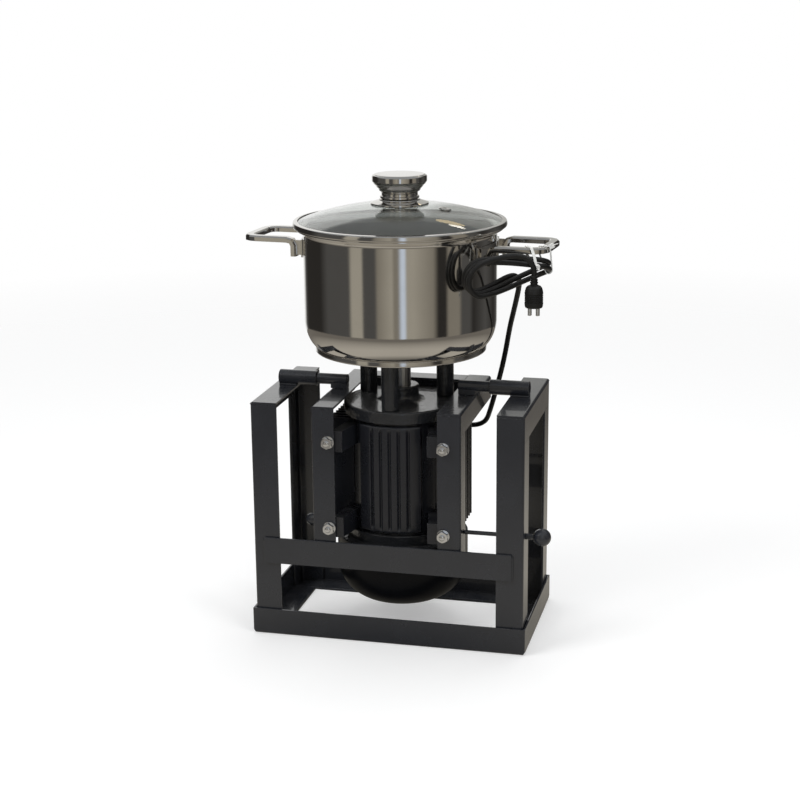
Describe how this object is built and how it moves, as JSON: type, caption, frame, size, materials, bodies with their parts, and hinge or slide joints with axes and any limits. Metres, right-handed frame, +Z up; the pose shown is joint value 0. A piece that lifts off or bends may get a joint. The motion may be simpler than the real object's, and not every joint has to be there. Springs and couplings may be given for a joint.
{
  "type": "meat paste grinder",
  "caption": "Tilting meat paste grinder: lidded steel pot on a foot mounted electric motor, hung by two pivots in a welded angle iron stand with a lock pin.",
  "frame": {"origin": "on the floor, below the middle of the object's bounding box, the cord left out", "axes": "+Z up, +X to the right seen from the front, the front with the lock bar and feet bolts towards -Y; the pot tips forwards about an axis along X"},
  "size_m": [0.402, 0.265, 0.579],
  "materials": {
    "stand_paint": "satin dark grey paint over rolled angle iron",
    "cradle_paint": "satin dark grey paint",
    "motor_paint": "dark grey paint on castings",
    "cowl_paint": "semi gloss black paint",
    "bright_steel": "zinc plated fasteners",
    "polished_steel": "mirror polished stainless steel",
    "ground_steel": "ground steel",
    "winding": "laminated core with varnished copper windings",
    "lid_glass": "clear tempered glass",
    "black_plastic": "black moulded plastic",
    "black_rubber": "black rubber sheath",
    "white_nylon": "white nylon ties"
  },
  "bodies": {
    "stand": {"base_bar_front": "stand_paint", "base_bar_rear": "stand_paint", "base_bar_left": "stand_paint", "base_bar_right": "stand_paint", "post_front_left": "stand_paint", "post_front_right": "stand_paint", "post_rear_left": "stand_paint", "post_rear_right": "stand_paint", "top_bar_left": "stand_paint", "top_bar_right": "stand_paint", "pivot_sleeve_left": "stand_paint", "pivot_sleeve_right": "stand_paint", "middle_bar_front": "stand_paint"},
    "cradle": {"cradle_post_left": "cradle_paint", "cradle_post_right": "cradle_paint", "cradle_top_bar_left": "cradle_paint", "cradle_top_bar_right": "cradle_paint", "cradle_cross_bar": "cradle_paint", "pivot_rod_left": "cradle_paint", "pivot_rod_right": "cradle_paint", "foot_bolt_lower_left": "bright_steel", "foot_bolt_upper_left": "bright_steel", "foot_bolt_lower_right": "bright_steel", "foot_bolt_upper_right": "bright_steel", "motor_housing": "motor_paint", "end_shield_top": "motor_paint", "end_shield_bottom": "motor_paint", "bearing_top": "ground_steel", "bearing_bottom": "ground_steel", "stator": "winding", "fan_cowl": "cowl_paint", "terminal_box": "motor_paint", "terminal_box_cover": "motor_paint", "cord_gland": "black_plastic", "pot_column_1": "motor_paint", "pot_column_2": "motor_paint", "pot_column_3": "motor_paint", "pot_body": "polished_steel", "shaft_seal": "black_rubber", "pot_handle_right": "polished_steel", "pot_handle_left": "polished_steel", "cord_lead": "black_rubber", "cord_hank": "black_rubber", "mains_plug": "black_plastic", "cable_tie_near": "white_nylon", "cable_tie_end": "white_nylon"},
    "lid": {"lid_glass": "lid_glass", "lid_rim_band": "polished_steel", "lid_vent": "polished_steel", "lid_knob_seat": "cowl_paint", "lid_knob": "polished_steel", "lid_clamp_screw": "polished_steel"},
    "rotor": {"rotor_shaft": "ground_steel", "fan": "black_plastic", "blade_hub": "polished_steel", "cutter_lower": "ground_steel", "cutter_upper": "ground_steel"},
    "lock": {"lock_pin": "bright_steel", "lock_pin_knob": "cradle_paint"}
  },
  "joints": [
    {"name": "tilt", "type": "hinge", "parent": "stand", "child": "cradle", "pos_m": [-0.002, 0, 0.3148], "axis": [1, 0, 0], "range_deg": [0, 90]},
    {"name": "lid_lift", "type": "slide", "parent": "cradle", "child": "lid", "axis": [0, 0, 1], "range_m": [0, 0.06]},
    {"name": "rotor_spin", "type": "hinge", "parent": "cradle", "child": "rotor", "pos_m": [-0.004, 0, 0.3], "axis": [0, 0, 1], "continuous": true},
    {"name": "lock_slide", "type": "slide", "parent": "stand", "child": "lock", "axis": [1, 0, 0], "range_m": [0, 0.05]}
  ]
}
